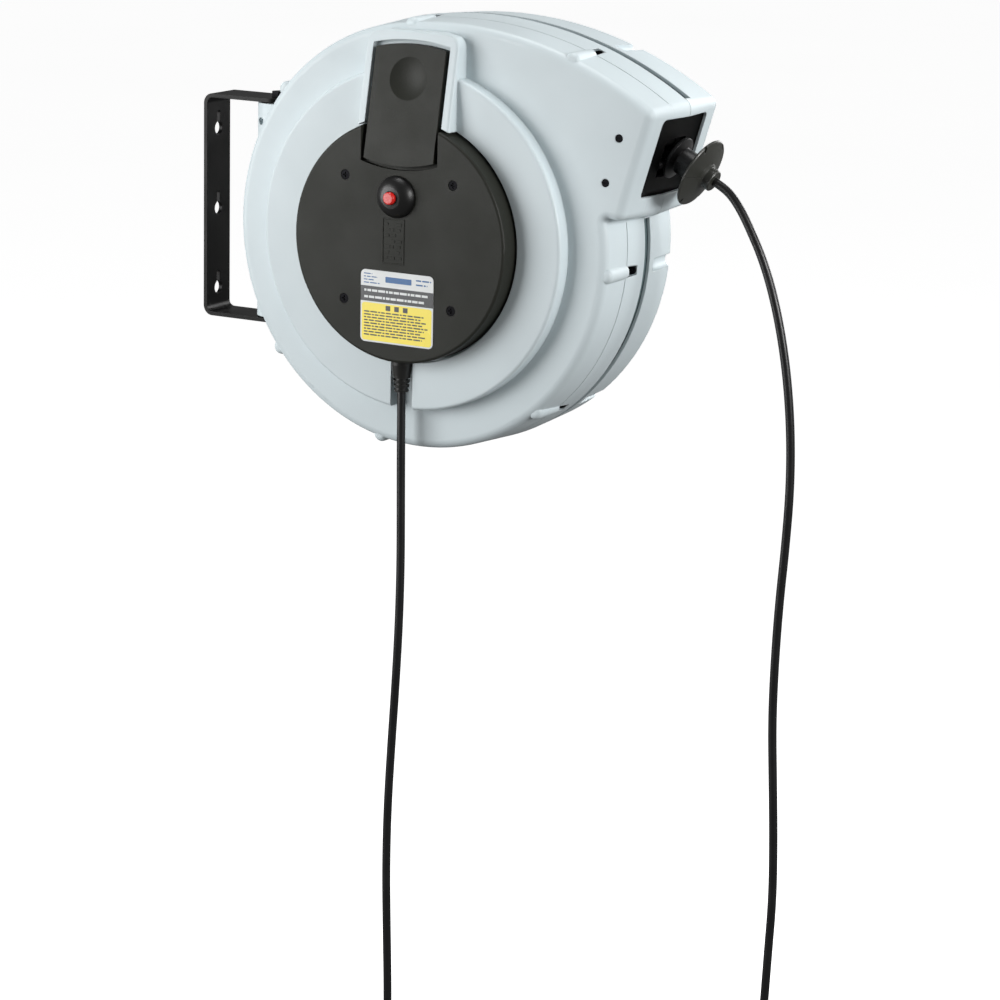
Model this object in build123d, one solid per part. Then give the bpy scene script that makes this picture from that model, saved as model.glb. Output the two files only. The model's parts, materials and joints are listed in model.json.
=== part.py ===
"""Wall-mounted retractable extension cord reel.

Row frame: +Z up, the wall is the plane X = 0 and the reel stands out along +X.
The origin is the centre of the wall plate's back face. The drum turns about an
axis parallel to Y, and the face with the dark centre cover looks towards -Y.
The reel is drawn in a local frame first: x to the right, y up, z towards the
front face, with its origin on the drum axis in the plane of the shell joint.
"""
import math
import os

from build123d import *

os.makedirs("parts", exist_ok=True)

# ---- driving dimensions, millimetres ---------------------------------------------------------
REEL_X = 280.0            # wall to drum axis
CORD_D = 8.2              # three-core 1.5 mm2 rubber cable
CORD_R = CORD_D / 2

BODY_R = 206.0            # housing radius at the shell joint
DRAFT = 3.0               # degrees
WALL = 3.0
RIM_FRONT = 70.0          # rim corner of the front shell, local z
PARTING = 31.0            # front shell to middle shell
GROOVE = 12.0             # width of the dark groove behind the middle shell
RIM_BACK = -61.0
PLATEAU_R = 163.0
PLATEAU_Z = 86.0
SEAT_R = 117.5            # recess that takes the centre cover
SEAT_Z = 77.0
FLOOR_HOLE_R = 64.0       # service hole in the seat's floor
COVER_R = 115.0
COVER_Z = 106.0
BACK_BOSS_R = 120.0
BACK_BOSS_Z = -86.0

MOUTH_TILT = 17.0         # degrees the mouth looks down
MOUTH_S = 200.0           # mouth plane, measured along the cable from its tangent point
MOUTH_TOP = 206.0         # distance of the mouth's top corner from the drum axis line
MOUTH_BOTTOM = 93.0
TANGENT_R = 152.5         # distance from the drum axis to the outgoing cable's centreline
OPENING_TOP = 195.0
OPENING_BOTTOM = 117.0
OPENING_BACK = -41.0
OPENING_FRONT = 46.0

PIVOT_X = 75.0            # swivel axis from the wall
PLATE_H = 222.0           # wall bracket height
PLATE_W = 40.0
STRIP_T = 4.0             # bracket strip thickness
PIVOT_R = 4.0             # M8 pivot bolts

CORE_R = 120.0            # spool core
FLANGE_R = 186.0
SPOOL_BACK = -44.0
SPOOL_FRONT = 40.0
FLANGE_T = 3.0
WOUND_R = TANGENT_R - CORD_R - 0.4
SHAFT_R = 9.0
RUN_GAP = 0.05            # radial clearance of a running fit

SCREW_ANGLES = (93.5, 140, 218, 258, 310, 355)
COVER_SCREW = 59.0

SUPPLY_X = -6.0           # strain relief axis, local x
SUPPLY_Z = 86.0
COIL_R = 42.0             # middle of the put-away coil's turns
COIL_TURNS = 3
COIL_Y = -829.0
COIL_PITCH = CORD_D + 0.2

LOW = Align.MIN
MID = Align.CENTER
TO_ROW = Pos(REEL_X, 0, 0) * Rot(90, 0, 0)

tilt = math.radians(MOUTH_TILT)
ALONG = Vector(math.cos(tilt), -math.sin(tilt), 0)     # out of the mouth
ACROSS = Vector(math.sin(tilt), math.cos(tilt), 0)     # up the mouth plane


def save(name, *shapes):
    """Place local shapes in the row frame and write one node."""
    solids = [solid for shape in shapes for solid in (TO_ROW * shape).solids()]
    whole = solids[0] if len(solids) == 1 else Compound(solids)
    export_step(whole, f"parts/{name}.step")


def save_row(name, *shapes):
    """Write a node whose shapes are already in the row frame."""
    solids = [solid for shape in shapes for solid in shape.solids()]
    whole = solids[0] if len(solids) == 1 else Compound(solids)
    export_step(whole, f"parts/{name}.step")


def disc(radius, z0, z1, x=0.0, y=0.0):
    """Cylinder along local z between two heights."""
    return Pos(x, y, z0) * Cylinder(radius, z1 - z0, align=(MID, MID, LOW))


def ring(outer, inner, z0, z1, x=0.0, y=0.0):
    return disc(outer, z0, z1, x, y) - disc(inner, z0 - 1, z1 + 1, x, y)


def block(x0, x1, y0, y1, z0, z1):
    """Box from its lowest and highest corners."""
    return Pos(x0, y0, z0) * Box(x1 - x0, y1 - y0, z1 - z0, align=(LOW, LOW, LOW))


def polar(radius, degrees):
    angle = math.radians(degrees)
    return radius * math.cos(angle), radius * math.sin(angle)


def mouth_frame(across):
    """Local placement whose z runs out of the mouth and whose y runs up it."""
    return Plane(origin=ACROSS * across, x_dir=(0, 0, -1), z_dir=ALONG).location


def mouth_block(s0, s1, q0, q1, z0, z1):
    """Box set square to the mouth: s along the cable, q up, z towards the front."""
    turned = Plane(origin=(0, 0, 0), x_dir=ALONG, z_dir=(0, 0, 1)).location
    return turned * block(s0, s1, q0, q1, z0, z1)


# ---- housing outline -------------------------------------------------------------------------
top_corner = ALONG * MOUTH_S + ACROSS * MOUTH_TOP
low_corner = ALONG * MOUTH_S + ACROSS * MOUTH_BOTTOM
snout_foot = Vector(186, 36, 0)
ARC_START_ANGLE = 98.0


def outline(inset=0.0):
    """Side view of the housing: a disc with the snout running off its top."""
    start = Vector(*polar(BODY_R, ARC_START_ANGLE))
    heading = Vector(*polar(1.0, ARC_START_ANGLE - 90))
    top = TangentArc(start, top_corner, tangent=heading)
    rest = Polyline(top_corner, low_corner, snout_foot, (0, 0, 0), start)
    snout = make_face(Wire([top, *rest.edges()]))
    face = Circle(BODY_R) + snout
    near_mouth = [v for v in face.vertices() if (v.center() - top_corner).length < 2
                  or (v.center() - low_corner).length < 2]
    face = fillet(near_mouth, 12.0)
    return offset(face, amount=-inset) if inset else face


def slab(inset, height):
    """Tapered solid of the outline, drawn away from the shell joint."""
    return extrude(outline(inset), amount=height, taper=DRAFT)


SPAN = 700.0


def between(z0, z1):
    return block(-SPAN, SPAN, -SPAN, SPAN, z0, z1)


# ---- front and middle shells -----------------------------------------------------------------
def rounded_front(inset, z_top, radius):
    solid = slab(inset, z_top)
    return fillet(solid.faces().sort_by(Axis.Z)[-1].edges(), radius)


EDGE_R = 8.0              # rounding of the rim's front edge
outer = rounded_front(0, RIM_FRONT, EDGE_R)
inner = rounded_front(WALL, RIM_FRONT - WALL, EDGE_R - WALL)

plateau = disc(PLATEAU_R, 60, PLATEAU_Z)
plateau = fillet(plateau.faces().sort_by(Axis.Z)[-1].edges(), 3.0)

PANEL_HALF = 38.0
PANEL_LOW = 72.0
PANEL_TOP = 184.0
PANEL_GAP = 4.0
PANEL_LOW_R = 140.0       # arc of the panel's lower edge
PANEL_T = 7.0
SURROUND = 12.0


def panel_face(y):
    """Height of the sloping access panel's face above the shell joint."""
    return 108.0 - (y - 75.0) * 0.20


def panel_outline(gap):
    """Upright column bounded by the panel's arched lower and upper edges, gap wider all round."""
    low_arc = disc(PANEL_LOW_R + gap, 40, 150, 0, PANEL_LOW + PANEL_LOW_R)
    return low_arc & disc(PANEL_TOP + gap, 40, 150)


def wedge(half, y0, y1, lift, depth):
    """Plate that follows the panel's slope, lift above it and depth thick."""
    a, b = panel_face(y0) + lift, panel_face(y1) + lift
    profile = Polyline((0, y0, a), (0, y1, b), (0, y1, b - depth), (0, y0, a - depth), close=True)
    face = make_face(profile)
    return extrude(face, amount=half, dir=(1, 0, 0), both=True)


surround = wedge(PANEL_HALF + SURROUND, 96, PANEL_TOP + SURROUND, -1.0, 34)
surround = fillet(surround.edges().filter_by(Axis.Z).group_by(Axis.Y)[-1], 14.0)
surround = fillet(surround.faces().sort_by(Axis.Z)[-1].edges(), 2.5)
surround = surround & disc(BODY_R - EDGE_R, 40, 130)
pocket = wedge(PANEL_HALF + PANEL_GAP, PANEL_LOW - PANEL_GAP, PANEL_TOP + PANEL_GAP, 20, 20 + PANEL_T + 0.6)
pocket = pocket & panel_outline(PANEL_GAP)

NOTCH_HALF = 12.0
notch_wall = block(SUPPLY_X - NOTCH_HALF - WALL, SUPPLY_X + NOTCH_HALF + WALL, -161, -108, 64, 83.5)
notch = block(SUPPLY_X - NOTCH_HALF, SUPPLY_X + NOTCH_HALF, -190, -100, 70.5, 120)

hollow = inner + (disc(PLATEAU_R - WALL, 40, PLATEAU_Z - WALL) - disc(SEAT_R + WALL, 30, 100))
hollow = hollow + disc(SEAT_R + WALL, 40, SEAT_Z - WALL)
hollow = hollow - (wedge(PANEL_HALF + PANEL_GAP + WALL, PANEL_LOW, PANEL_TOP + PANEL_GAP + WALL, 0, 14))

front = outer + plateau + surround
front = front - (hollow - notch_wall)
front = front - disc(SEAT_R, SEAT_Z, 130)
front = front - pocket - notch
front = front - disc(FLOOR_HOLE_R, 60, 90)

opening = mouth_block(MOUTH_S - 14, MOUTH_S + 20, OPENING_BOTTOM, OPENING_TOP, OPENING_BACK, OPENING_FRONT)
opening = fillet(opening.edges().filter_by(Axis(origin=(0, 0, 0), direction=tuple(ALONG))), 6.0)
front = front - opening
front_shell = front & between(PARTING, 140)
middle_shell = (outer - inner - opening) & between(0, PARTING)
SEAM_W, SEAM_DEPTH = 1.0, 1.2
NECK_S = 170.0            # where the plain underside of the snout starts
NECK_Q = 87.0             # just below the snout's underside


def mouth_surround(z0, z1):
    """Zone of the mouth's rim and the snout's underside between two heights."""
    rim_zone = mouth_block(MOUTH_S - 10, MOUTH_S + 20, NECK_Q, MOUTH_TOP + 20, z0, z1)
    return rim_zone + mouth_block(NECK_S, MOUTH_S, NECK_Q, OPENING_BOTTOM - 4, z0, z1)


seam = (slab(-1, RIM_FRONT) - slab(SEAM_DEPTH, RIM_FRONT)) & between(PARTING, PARTING + SEAM_W)
front_shell = front_shell - (seam - mouth_surround(PARTING - 2, PARTING + 4))


# screw towers: half-round ridges on the rim that lead to sunk screw heads
RIDGE_R = 7.5
SCREW_IN = 4.5            # screw axes inside the rim
SCREW_SINK = 15.0         # local z of the screw heads' front
SCREW_HEAD_R = 5.0
PAD_Z = 5.5               # back of the screw pads
POCKET_R = 7.0            # screw pockets, open at the rim
POCKET_WALL = 1.6


def rim_radius(z):
    return BODY_R - abs(z) * math.tan(math.radians(DRAFT))


def ridge(x, y):
    body = disc(RIDGE_R, PARTING, RIM_FRONT - 2, x, y)
    return fillet(body.faces().sort_by(Axis.Z)[-1].edges(), 5.0)


screw_places = [polar(rim_radius(PARTING) - SCREW_IN, angle) for angle in SCREW_ANGLES]
snout_screw = Vector(159.5, 178.5, 0)
screw_places.append((snout_screw.X, snout_screw.Y))

shell_screws = []
for x, y in screw_places:
    bore = disc(2.0, -100, 100, x, y)
    front_shell = front_shell + (ridge(x, y) - inner)
    tower = disc(POCKET_R + POCKET_WALL, PAD_Z, PARTING, x, y) & outer
    middle_shell = middle_shell + tower - disc(POCKET_R, SCREW_SINK - 3, PARTING + 1, x, y) - bore
    front_shell = front_shell - disc(4.6, PARTING - 1, PARTING + 4, x, y)
    head = disc(SCREW_HEAD_R, SCREW_SINK - 3, SCREW_SINK, x, y)
    socket = Pos(x, y, SCREW_SINK - 1.5) * Box(5.0, 1.2, 2.0, align=(MID, MID, LOW))
    cross = Pos(x, y, SCREW_SINK - 1.5) * Box(1.2, 5.0, 2.0, align=(MID, MID, LOW))
    shell_screws.append(head + disc(1.95, PAD_Z, SCREW_SINK - 3, x, y) - socket - cross)

SIDE_SCREWS = [(213.0, 112.0), (200.0, 70.0)]
for x, y in SIDE_SCREWS:
    front_shell = front_shell - disc(3.9, RIM_FRONT - 2.2, RIM_FRONT + 1, x, y) - disc(2.05, 60, 80, x, y)

for sx in (-1, 1):
    for sy in (-1, 1):
        x, y = sx * COVER_SCREW, sy * COVER_SCREW
        front_shell = front_shell - disc(1.5, SEAT_Z - 5, SEAT_Z + 1, x, y)

save("front_shell", front_shell)
save("middle_shell", middle_shell)
save("shell_screws", *shell_screws)

# ---- back shell ------------------------------------------------------------------------------
back_outer = mirror(rounded_front(0, -RIM_BACK, 5.0), about=Plane.XY)
back_inner = mirror(slab(WALL, -RIM_BACK - WALL), about=Plane.XY)
boss = disc(BACK_BOSS_R, BACK_BOSS_Z, RIM_BACK + 4)
boss = fillet(boss.faces().sort_by(Axis.Z)[0].edges(), 8.0)
back = (back_outer + boss) - back_inner - disc(BACK_BOSS_R - WALL, BACK_BOSS_Z + WALL, RIM_BACK + 10)
back = back - opening
hub = disc(22, BACK_BOSS_Z + 1, BACK_BOSS_Z + 16)
back = back + hub - disc(SHAFT_R, BACK_BOSS_Z - 5, 0)
for angle in range(0, 360, 30):
    x, y = polar(150, angle)
    rib = Pos(x, y, RIM_BACK) * Rot(0, 0, angle) * Box(46, 3, 3, align=(MID, MID, Align.MAX))
    back = back + rib
CHANNEL_R = 6.5
for x, y in screw_places:
    back = back + (disc(CHANNEL_R + WALL, RIM_BACK + 1, -GROOVE - 5.5, x, y) & back_outer)
    back = back - disc(CHANNEL_R, RIM_BACK - 5, -GROOVE - 9, x * 1.015, y * 1.015)
MOUTH_SEAM = 0.8          # gap from the back shell to the middle shell round the mouth
back_shell = back & (between(-140, -GROOVE) + mouth_surround(-GROOVE - 1, -MOUTH_SEAM))
for x, y in SIDE_SCREWS:
    back_shell = back_shell - disc(3.9, RIM_BACK - 1, RIM_BACK + 2.2, x, y) - disc(2.05, -70, -50, x, y)
save("back_shell", back_shell)

GASKET_LAP = 4.5
gasket_width = GROOVE + 2 * GASKET_LAP
GASKET_SINK = 4.4          # gasket face below the shells' skin
GASKET_T = 2.8
gasket = extrude(outline(GASKET_SINK), amount=gasket_width)
gasket = gasket - extrude(outline(GASKET_SINK + GASKET_T), amount=gasket_width)
gasket = Pos(0, 0, -GROOVE - GASKET_LAP) * gasket
gasket = gasket - mouth_block(MOUTH_S - 12, MOUTH_S + 20, OPENING_BOTTOM - 11, OPENING_TOP + 4, -80, 80)
save("joint_gasket", gasket)

# ---- centre cover, its screws, label, button bezel -------------------------------------------
cover = disc(COVER_R, SEAT_Z, COVER_Z)
cover = fillet(cover.faces().sort_by(Axis.Z)[-1].edges(), 2.5)
cover = cover - disc(COVER_R - WALL, SEAT_Z - 1, COVER_Z - WALL)
panel_shelf = wedge(PANEL_HALF + PANEL_GAP + WALL, PANEL_LOW - PANEL_GAP - WALL, 112, 0, 12)
cover = cover + (panel_shelf & disc(COVER_R - 1, SEAT_Z + 1, COVER_Z - 1)) - pocket
BUTTON_X, BUTTON_Y = -2.0, 43.0
BEZEL_R, BUTTON_R = 20.0, 6.0
cover = cover - disc(12.0, 90, 120, BUTTON_X, BUTTON_Y)
cover = cover - block(SUPPLY_X - NOTCH_HALF, SUPPLY_X + NOTCH_HALF, -130, -99, 70, 98.5)
cover_screws = []
for sx in (-1, 1):
    for sy in (-1, 1):
        x, y = sx * COVER_SCREW, sy * COVER_SCREW
        cover = cover + ring(6.5, 2.05, SEAT_Z, COVER_Z - 1, x, y) - disc(2.05, 70, 110, x, y)
        cover = cover - disc(4.9, COVER_Z - 2.6, 110, x, y)
        head = disc(4.5, COVER_Z - 2.6, COVER_Z - 0.4, x, y)
        for turn in (0, 90):
            slot = Pos(x, y, COVER_Z - 1.8) * Rot(0, 0, turn) * Box(5.4, 1.2, 3, align=(MID, MID, LOW))
            head = head - slot
        cover_screws.append(head + disc(1.45, SEAT_Z - 4, COVER_Z - 2.6, x, y))

EMBLEM_X, EMBLEM_Y, EMBLEM_W, EMBLEM_H = -5.0, 0.5, 24.0, 43.0
EMBLEM_LINE, EMBLEM_RISE = 1.0, 0.6
frame_outside = Box(EMBLEM_W, EMBLEM_H, 2 * EMBLEM_RISE)
frame_inside = Box(EMBLEM_W - 2 * EMBLEM_LINE, EMBLEM_H - 2 * EMBLEM_LINE, 4 * EMBLEM_RISE)
cover = cover + Pos(EMBLEM_X, EMBLEM_Y, COVER_Z) * (frame_outside - frame_inside)
save("centre_cover", cover)
save("cover_screws", *cover_screws)

LABEL_W, LABEL_H, LABEL_Y, LABEL_T = 80.0, 69.0, -63.0, 0.4
label = Pos(0, LABEL_Y, COVER_Z) * extrude(RectangleRounded(LABEL_W, LABEL_H, 5), amount=LABEL_T)
save("rating_label", label)

bezel_hole = BUTTON_R + 0.5
bezel_neck = 11.8
dome_foot = (BEZEL_R, COVER_Z + 1.5)
dome_top = (10, COVER_Z + 11.2)
bezel_side = Polyline(dome_top, (bezel_hole, COVER_Z + 11.6), (bezel_hole, COVER_Z - 6),
                      (bezel_neck, COVER_Z - 6), (bezel_neck, COVER_Z), (BEZEL_R, COVER_Z), dome_foot)
dome = ThreePointArc(dome_foot, (16.2, COVER_Z + 7.6), dome_top)
bezel_profile = make_face(Wire([*bezel_side.edges(), *dome.edges()]))
bezel = revolve(Plane.XZ * bezel_profile, axis=Axis.Z)
save("button_bezel", Pos(BUTTON_X, BUTTON_Y, 0) * bezel)

button = disc(BUTTON_R, 92, COVER_Z + 15.5, BUTTON_X, BUTTON_Y)
button = fillet(button.faces().sort_by(Axis.Z)[-1].edges(), 1.6)
save("reset_button", button)

# ---- access panel ----------------------------------------------------------------------------
panel = wedge(PANEL_HALF, PANEL_LOW, PANEL_TOP, 0, PANEL_T)
panel = panel & panel_outline(0)
DIMPLE_X, DIMPLE_Y, DIMPLE_R, DIMPLE_DEPTH = 1.0, 162.0, 18.0, 3.2
ball_r = (DIMPLE_R ** 2 + DIMPLE_DEPTH ** 2) / (2 * DIMPLE_DEPTH)
ball_z = panel_face(DIMPLE_Y) + ball_r - DIMPLE_DEPTH
panel = panel - Pos(DIMPLE_X, DIMPLE_Y, ball_z) * Rot(0, 90, 0) * Sphere(ball_r)
save("access_cover", panel)

# ---- mouth guide and rollers -----------------------------------------------------------------
ROLLER_R = 8.0
ROLLER_HALF = 21.0
AXLE_R = 2.5
ROLLER_OFF = CORD_R + 0.5 + ROLLER_R
GUIDE_HALF = 26.0
GUIDE_TOP = OPENING_TOP + 3.0
FLAT_S = 181.0            # rollers with axes across the reel
TALL_S = 162.0            # rollers with axes up the mouth

plate = mouth_block(190, 194, OPENING_BOTTOM - 10, GUIDE_TOP, OPENING_BACK - 8, OPENING_FRONT + 8)
plate = plate - mouth_block(189, 195, TANGENT_R - 19, TANGENT_R + 19, -19, 19)
cage = mouth_block(150, 190, TANGENT_R - GUIDE_HALF, TANGENT_R + GUIDE_HALF, -GUIDE_HALF, GUIDE_HALF)
cage = cage - mouth_block(140, 200, TANGENT_R - 22, TANGENT_R + 22, -22, 22)
guide = plate + cage
SPINS = ((FLAT_S, ROLLER_OFF, "z", "roller_upper"), (FLAT_S, -ROLLER_OFF, "z", "roller_lower"),
         (TALL_S, ROLLER_OFF, "q", "roller_front"), (TALL_S, -ROLLER_OFF, "q", "roller_rear"))
axles = []
for s, off, way, name in SPINS:
    if way == "z":
        place = Pos(*(ALONG * s + ACROSS * (TANGENT_R + off)))
    else:
        centre = ALONG * s + ACROSS * TANGENT_R + Vector(0, 0, off)
        place = Pos(*centre) * Rot(0, 0, -MOUTH_TILT) * Rot(90, 0, 0)
    roller = Cylinder(ROLLER_R, 2 * ROLLER_HALF) - Cylinder(AXLE_R + RUN_GAP, 60)
    roller = roller - (Cylinder(ROLLER_R + 1, 24) - Cylinder(ROLLER_R - 1.2, 24))
    axle = Cylinder(AXLE_R, 2 * GUIDE_HALF)
    guide = guide - place * Cylinder(AXLE_R, 80)
    save(name, place * roller)
    axles.append(place * axle)
save("roller_axles", *axles)
mouth_screws = []
for x, y in SIDE_SCREWS:
    for face, way in ((RIM_FRONT, 1), (RIM_BACK, -1)):
        head = Pos(x, y, face - way * 0.4) * Cylinder(3.6, 1.8)
        shank = Pos(x, y, face - way * 8) * Cylinder(2.0, 14)
        socket = Pos(x, y, face + way * 0.3) * Box(4.4, 1.0, 1.4)
        mouth_screws.append(head + shank - socket)
guide = guide + mouth_block(164, 194, OPENING_BOTTOM - 10, GUIDE_TOP, OPENING_FRONT + 5, OPENING_FRONT + 8)
guide = guide + mouth_block(164, 194, OPENING_BOTTOM - 10, GUIDE_TOP, OPENING_BACK - 8, OPENING_BACK - 5)
for x, y in SIDE_SCREWS:
    guide = guide + disc(5, OPENING_FRONT + 6, RIM_FRONT - WALL - 0.4, x, y)
    guide = guide + disc(5, RIM_BACK + WALL + 0.4, OPENING_BACK - 6, x, y)
    guide = guide - disc(2.0, OPENING_FRONT, 80, x, y) - disc(2.0, -80, OPENING_BACK, x, y)
save("mouth_guide", guide)
save("mouth_screws", *mouth_screws)

# ---- shaft, drum and what turns with it ------------------------------------------------------
floor_z = SEAT_Z - WALL
shaft = disc(SHAFT_R, BACK_BOSS_Z - 4, floor_z) + disc(14, BACK_BOSS_Z + 16, BACK_BOSS_Z + 22)
save("main_shaft", shaft)
nut = extrude(RegularPolygon(15, 6), amount=5)
save("shaft_nut", Pos(0, 0, BACK_BOSS_Z - 5) * (nut - disc(SHAFT_R, -1, 9)))

BRIDGE_HALF, BRIDGE_W, BRIDGE_T, BRIDGE_TURN = 78.0, 18.0, 6.0, -35.0
bridge = block(-BRIDGE_HALF, BRIDGE_HALF, -BRIDGE_W / 2, BRIDGE_W / 2, floor_z - BRIDGE_T, floor_z)
bridge = bridge + disc(14, floor_z - BRIDGE_T, floor_z) - disc(SHAFT_R, 0, 100)
save("shaft_bridge", Rot(0, 0, BRIDGE_TURN) * bridge)

BUSH_R = 13.0
BUSH_L = 14.0
WEB_Z = 6.0
bushes = [ring(BUSH_R, SHAFT_R + RUN_GAP, z, z + BUSH_L) for z in (WEB_Z, SPOOL_FRONT - BUSH_L)]
save("drum_bushes", *bushes)

core = ring(CORE_R, CORE_R - 3, SPOOL_BACK, SPOOL_FRONT)
web = ring(CORE_R - 3, BUSH_R, WEB_Z, WEB_Z + 4)
hub_tube = ring(BUSH_R + 5, BUSH_R, WEB_Z, SPOOL_FRONT)
for angle in range(0, 360, 45):
    fin = Rot(0, 0, angle) * block(BUSH_R + 4, CORE_R - 2, -1.5, 1.5, 10, SPOOL_FRONT)
    core = core + fin
spool = core + web + hub_tube
save("spool_core", spool)


def flange(z0, z1):
    plate = ring(FLANGE_R, BUSH_R + 6, z0, z1)
    for angle in range(0, 360, 60):
        x, y = polar(80, angle)
        plate = plate - disc(17, z0 - 1, z1 + 1, x, y)
    return plate


save("spool_front_flange", flange(SPOOL_FRONT, SPOOL_FRONT + FLANGE_T))
save("spool_back_flange", flange(SPOOL_BACK - FLANGE_T, SPOOL_BACK))
save("wound_cable", ring(WOUND_R, CORE_R, SPOOL_BACK + 1, SPOOL_FRONT - 1))
flange_screws = []
for angle in range(30, 390, 60):
    x, y = polar(CORE_R - 8, angle)
    flange_screws.append(disc(3.6, SPOOL_FRONT + FLANGE_T, SPOOL_FRONT + FLANGE_T + 2, x, y))
    flange_screws.append(disc(3.6, SPOOL_BACK - FLANGE_T - 2, SPOOL_BACK - FLANGE_T, x, y))
save("flange_screws", *flange_screws)

SPRING_T = 1.4
SPRING_TURNS = 9
SPRING_START = 26.0
SPRING_STEP = 8.6
spring_z0, spring_z1 = SPOOL_BACK + 4, 3.0


def spiral(radius_offset):
    """Half-turn arcs whose radius grows by half a step each."""
    edges = []
    radius = SPRING_START + radius_offset
    x = radius
    centre = 0.0
    for half in range(2 * SPRING_TURNS):
        way = 1 if half % 2 == 0 else -1
        end = centre - way * radius
        top = (centre, way * radius)
        edges.append(ThreePointArc((x, 0), top, (end, 0)))
        x = end
        centre = centre + way * SPRING_STEP / 4
        radius = abs(x - centre)
    return edges


inner_run = spiral(0.0)
outer_run = spiral(SPRING_T)
caps = [Line(inner_run[0] @ 0, outer_run[0] @ 0), Line(inner_run[-1] @ 1, outer_run[-1] @ 1)]
strip_face = make_face([*inner_run, *outer_run, *caps])
mainspring = Pos(0, 0, spring_z0) * extrude(strip_face, amount=spring_z1 - spring_z0)
save("mainspring", mainspring)
save("spring_arbor", ring(SPRING_START - 0.5, SHAFT_R, spring_z0, spring_z1))

TEETH = 24
RATCHET_R = 58.0
points = []
for tooth in range(TEETH):
    points.append(polar(RATCHET_R, tooth * 360 / TEETH))
    points.append(polar(RATCHET_R - 7, tooth * 360 / TEETH + 1))
wheel = extrude(make_face(Polyline(*points, close=True)), amount=4)
ratchet_z = SPOOL_BACK - FLANGE_T - 4
save("ratchet_wheel", Pos(0, 0, ratchet_z) * (wheel - Cylinder(30, 20)))
PAWL_X, PAWL_Y = polar(82, 160)
PAWL_T = 3.6
pawl_body = block(-5, 5, -4, 4, 0, PAWL_T) + block(-21.5, 0, -3, 5, 0, PAWL_T) + disc(6, 0, PAWL_T)
pawl = Pos(PAWL_X, PAWL_Y, ratchet_z - 0.3) * Rot(0, 0, 160) * pawl_body
save("lock_pawl", pawl - disc(3.0 + RUN_GAP, -120, 0, PAWL_X, PAWL_Y))
save("pawl_pin", disc(3.0, BACK_BOSS_Z + WALL, ratchet_z + 3.5, PAWL_X, PAWL_Y))

SLIP_Z = SPOOL_FRONT + FLANGE_T
carrier = ring(34, 19.5, SLIP_Z, SLIP_Z + 24)
slip_rings = []
for index in range(3):
    z0 = SLIP_Z + 2 + index * 7.5
    slip_rings.append(ring(38, 34, z0, z0 + 4.5))
save("slip_ring_carrier", carrier)
save("slip_rings", *slip_rings)
holder = block(44, 62, -10, 10, SLIP_Z + 1, floor_z + 8) + block(44, 75, -10, 10, floor_z - 8, floor_z)
brushes = []
for index in range(3):
    z0 = SLIP_Z + 2.4 + index * 7.5
    slot = block(40, 58, -3, 3, z0, z0 + 3.6)
    holder = holder - slot
    brushes.append(block(38.4, 52, -3, 3, z0, z0 + 3.6))
save("brush_holder", holder)
save("contact_brushes", *brushes)

terminal = block(-30, 22, -62, -44, SEAT_Z, SEAT_Z + 18)
for index in range(4):
    terminal = terminal - disc(3.0, SEAT_Z + 12, SEAT_Z + 20, -24 + index * 13, -53)
save("terminal_block", terminal)
breaker = block(BUTTON_X - 16, BUTTON_X + 16, BUTTON_Y - 17, BUTTON_Y + 17, SEAT_Z - 8, 88)
breaker = breaker + ring(10.5, 6.6, 88, 100, BUTTON_X, BUTTON_Y)
save("thermal_breaker", breaker)

# ---- cable stop ------------------------------------------------------------------------------
STOP_R = 34.0
STOP_S = 226.5            # back of the stop's rim
HUB_END = 244.0
SAG_S = 214.0             # where the cable bends down with the stop's weight
SAG = 9.0                 # degrees below the mouth's axis
NOSE_R = 21.0
NOSE_S = 198.5            # back of the stop's nose, which rests against the mouth guide
WAIST_R = 13.0
HUB_R = 10.5
stop_nose = [(CORD_R, NOSE_S), (NOSE_R - 1.5, NOSE_S), (NOSE_R, NOSE_S + 1.5), (NOSE_R, NOSE_S + 4),
             (WAIST_R, NOSE_S + 7), (WAIST_R, STOP_S - 7)]
stop_rim = [(STOP_R - 0.8, STOP_S), (STOP_R, STOP_S + 0.8), (STOP_R, STOP_S + 1.8),
            (STOP_R - 0.8, STOP_S + 2.6)]
stop_hub = [(HUB_R + 3, STOP_S + 8.2), (HUB_R, STOP_S + 10), (HUB_R, HUB_END - 1), (HUB_R - 1, HUB_END),
            (CORD_R, HUB_END)]
stop_side = Polyline(*stop_nose, *stop_rim, *stop_hub, close=True)
stop_whole = revolve(Plane.XZ * make_face(stop_side), axis=Axis.Z)
to_cable = mouth_frame(TANGENT_R)
to_stop = to_cable * Pos(0, 0, SAG_S) * Rot(SAG, 0, 0) * Pos(0, 0, -SAG_S)
STOP_GAP = 0.15           # from the split plane to each half
STOP_SCREW_R = 1.6
halves = {"stop_half_upper": block(-60, 60, STOP_GAP, 60, 0, 400),
          "stop_half_lower": block(-60, 60, -60, -STOP_GAP, 0, 400)}
screw_places = [Pos(spot, 0, STOP_S + 2) * Rot(90, 0, 0) for spot in (-17.0, 17.0)]
for name, half in halves.items():
    piece = stop_whole & half
    for place in screw_places:
        piece = piece - place * Cylinder(STOP_SCREW_R, 80)
    piece = to_stop * piece - to_cable * disc(CORD_R + 0.2, NOSE_S - 10, SAG_S)
    save(name, piece - to_cable * Pos(0, 0, SAG_S) * Sphere(CORD_R + 0.2))
save("stop_screws", *[to_stop * place * Cylinder(STOP_SCREW_R, 34) for place in screw_places])

run_start, run_end = 3.0, HUB_END - 2.0
bend = to_cable * Pos(0, 0, SAG_S) * Sphere(CORD_R)
save("cable_run", to_cable * disc(CORD_R, run_start, SAG_S) + bend + to_stop * disc(CORD_R, SAG_S, run_end))


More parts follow.
